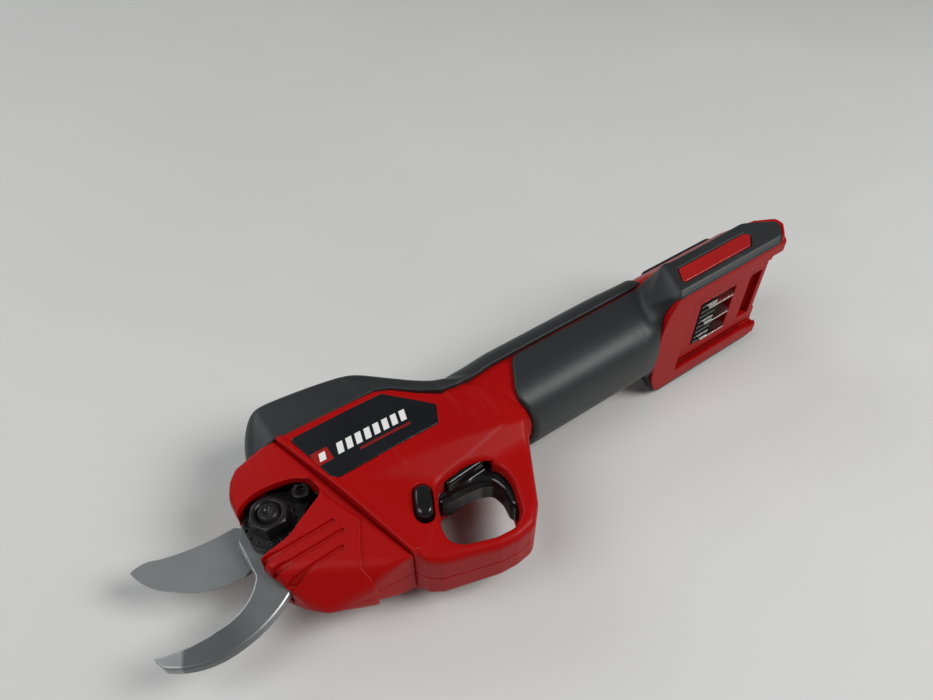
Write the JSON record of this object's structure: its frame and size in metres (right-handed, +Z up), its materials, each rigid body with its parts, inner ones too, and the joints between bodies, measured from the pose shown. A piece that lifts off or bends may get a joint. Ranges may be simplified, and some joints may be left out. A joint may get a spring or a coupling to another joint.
{
  "type": "battery pruner",
  "caption": "Cordless electric pruner: curved bypass blade over a hook blade, geared motor head with finger guard, trigger and lock, slim grip and rail foot for a slide-on battery.",
  "frame": {"origin": "middle of the tool's bounding box, on the surface its right side lies on", "axes": "+X runs from the blades to the battery foot, +Y towards the tool's back, away from the finger guard, +Z up, towards the tool's left side"},
  "size_m": [0.3152, 0.1046, 0.0664],
  "materials": {
    "red_plastic": "satin moulded nylon",
    "red_inlay": "satin",
    "soft_black": "matt, finely textured soft grip",
    "black_plastic": "satin",
    "status_lens": "gloss",
    "blade_steel": "grey coated, ground at the edge",
    "black_oxide": "black oxide",
    "screw_steel": "zinc plated",
    "gear_steel": "hardened, machined",
    "bronze": "sintered bronze",
    "cast_aluminium": "die cast",
    "motor_steel": "drawn",
    "winding_copper": "enamelled copper and laminated steel",
    "circuit_board": "solder mask",
    "lead_insulation": "silicone",
    "contact_brass": "tin flashed"
  },
  "bodies": {
    "tool": {"badge_left": "black_plastic", "badge_right": "black_plastic", "battery_leads": "lead_insulation", "battery_shoe": "red_plastic", "board_capacitor": "black_plastic", "button_switch": "black_plastic", "control_board": "circuit_board", "cover_screws": "screw_steel", "foot_bumper_left": "soft_black", "foot_bumper_right": "soft_black", "foot_inlay_left": "red_inlay", "foot_inlay_right": "red_inlay", "front_cover_left": "red_plastic", "front_cover_right": "red_plastic", "gear_case": "cast_aluminium", "hook_blade": "blade_steel", "hook_screws": "black_oxide", "housing_left": "red_plastic", "housing_right": "red_plastic", "housing_screws": "screw_steel", "lock_plate": "black_oxide", "lock_screw": "black_oxide", "motor_bearings": "gear_steel", "motor_can": "motor_steel", "motor_leads": "lead_insulation", "motor_stator": "winding_copper", "output_bearing": "gear_steel", "pivot_bolt": "black_oxide", "pivot_nut": "black_oxide", "rear_board": "circuit_board", "ring_gear": "gear_steel", "sensor_board": "circuit_board", "side_grip_left": "soft_black", "side_grip_right": "soft_black", "status_window": "status_lens", "switch_panel": "black_plastic", "terminal_blades": "contact_brass", "terminal_block": "black_plastic", "top_grip": "soft_black", "trigger_pin": "screw_steel", "trigger_spring": "screw_steel"},
    "blade": {"moving_blade": "blade_steel", "bevel_sector": "gear_steel", "sector_pins": "screw_steel", "pivot_bush": "bronze"},
    "output_shaft": {"output_carrier": "gear_steel", "bevel_pinion": "gear_steel"},
    "first_stage": {"first_carrier": "gear_steel"},
    "rotor": {"motor_shaft": "gear_steel", "rotor_magnet": "motor_steel", "sun_gear": "gear_steel"},
    "trigger_lever": {"trigger": "black_plastic"},
    "lock": {"lock_bolt": "black_plastic"},
    "power": {"power_button": "black_plastic"},
    "output_planet_1_body": {"output_planet_1": "gear_steel"},
    "first_planet_1_body": {"first_planet_1": "gear_steel"},
    "output_planet_2_body": {"output_planet_2": "gear_steel"},
    "first_planet_2_body": {"first_planet_2": "gear_steel"},
    "output_planet_3_body": {"output_planet_3": "gear_steel"},
    "first_planet_3_body": {"first_planet_3": "gear_steel"}
  },
  "joints": [
    {"name": "blade_pivot", "type": "hinge", "parent": "tool", "child": "blade", "pos_m": [-0.10485, 0.00625, 0.0322], "axis": [0, 0, 1], "range_deg": [-15, 42]},
    {"name": "output_shaft_spin", "type": "hinge", "parent": "tool", "child": "output_shaft", "pos_m": [-0.07485, 0.00625, 0.0347], "axis": [1, 0, 0], "range_deg": [-48.01, 134.41]},
    {"name": "first_stage_spin", "type": "hinge", "parent": "tool", "child": "first_stage", "pos_m": [-0.05885, 0.00625, 0.0347], "axis": [1, 0, 0], "range_deg": [-216.01, 604.81]},
    {"name": "rotor_spin", "type": "hinge", "parent": "tool", "child": "rotor", "pos_m": [-0.02985, 0.00625, 0.0347], "axis": [1, 0, 0], "range_deg": [-972.01, 2721.61]},
    {"name": "output_planet_1_spin", "type": "hinge", "parent": "output_shaft", "child": "output_planet_1_body", "pos_m": [-0.06355, 0.01435, 0.0347], "axis": [1, 0, 0], "range_deg": [-376.33, 134.41]},
    {"name": "output_planet_2_spin", "type": "hinge", "parent": "output_shaft", "child": "output_planet_2_body", "pos_m": [-0.06355, 0.0022, 0.04172], "axis": [1, 0, 0], "range_deg": [-376.33, 134.41]},
    {"name": "output_planet_3_spin", "type": "hinge", "parent": "output_shaft", "child": "output_planet_3_body", "pos_m": [-0.06355, 0.0022, 0.02769], "axis": [1, 0, 0], "range_deg": [-376.33, 134.41]},
    {"name": "first_planet_1_spin", "type": "hinge", "parent": "first_stage", "child": "first_planet_1_body", "pos_m": [-0.05255, 0.01435, 0.0347], "axis": [1, 0, 0], "range_deg": [-1693.45, 604.81]},
    {"name": "first_planet_2_spin", "type": "hinge", "parent": "first_stage", "child": "first_planet_2_body", "pos_m": [-0.05255, 0.0022, 0.04172], "axis": [1, 0, 0], "range_deg": [-1693.45, 604.81]},
    {"name": "first_planet_3_spin", "type": "hinge", "parent": "first_stage", "child": "first_planet_3_body", "pos_m": [-0.05255, 0.0022, 0.02769], "axis": [1, 0, 0], "range_deg": [-1693.45, 604.81]},
    {"name": "trigger_squeeze", "type": "hinge", "parent": "tool", "child": "trigger_lever", "pos_m": [-0.04835, -0.01505, 0.0332], "axis": [0, 0, 1], "range_deg": [0, 7], "stiffness_Nm_per_rad": 0.8, "springref_deg": -3.44},
    {"name": "lock_push", "type": "slide", "parent": "tool", "child": "lock", "axis": [0, 0, -1], "range_m": [0, 0.004]},
    {"name": "power_press", "type": "slide", "parent": "tool", "child": "power", "axis": [0, -1, 0], "range_m": [0, 0.0011], "stiffness_N_per_m": 900, "springref_m": -0.0015}
  ],
  "couplings": [
    {"joint": "output_shaft_spin", "follows": "blade_pivot", "ratio": 3.2},
    {"joint": "first_stage_spin", "follows": "blade_pivot", "ratio": 14.4},
    {"joint": "rotor_spin", "follows": "blade_pivot", "ratio": 64.8},
    {"joint": "output_planet_1_spin", "follows": "blade_pivot", "ratio": -8.96},
    {"joint": "output_planet_2_spin", "follows": "blade_pivot", "ratio": -8.96},
    {"joint": "output_planet_3_spin", "follows": "blade_pivot", "ratio": -8.96},
    {"joint": "first_planet_1_spin", "follows": "blade_pivot", "ratio": -40.32},
    {"joint": "first_planet_2_spin", "follows": "blade_pivot", "ratio": -40.32},
    {"joint": "first_planet_3_spin", "follows": "blade_pivot", "ratio": -40.32}
  ]
}
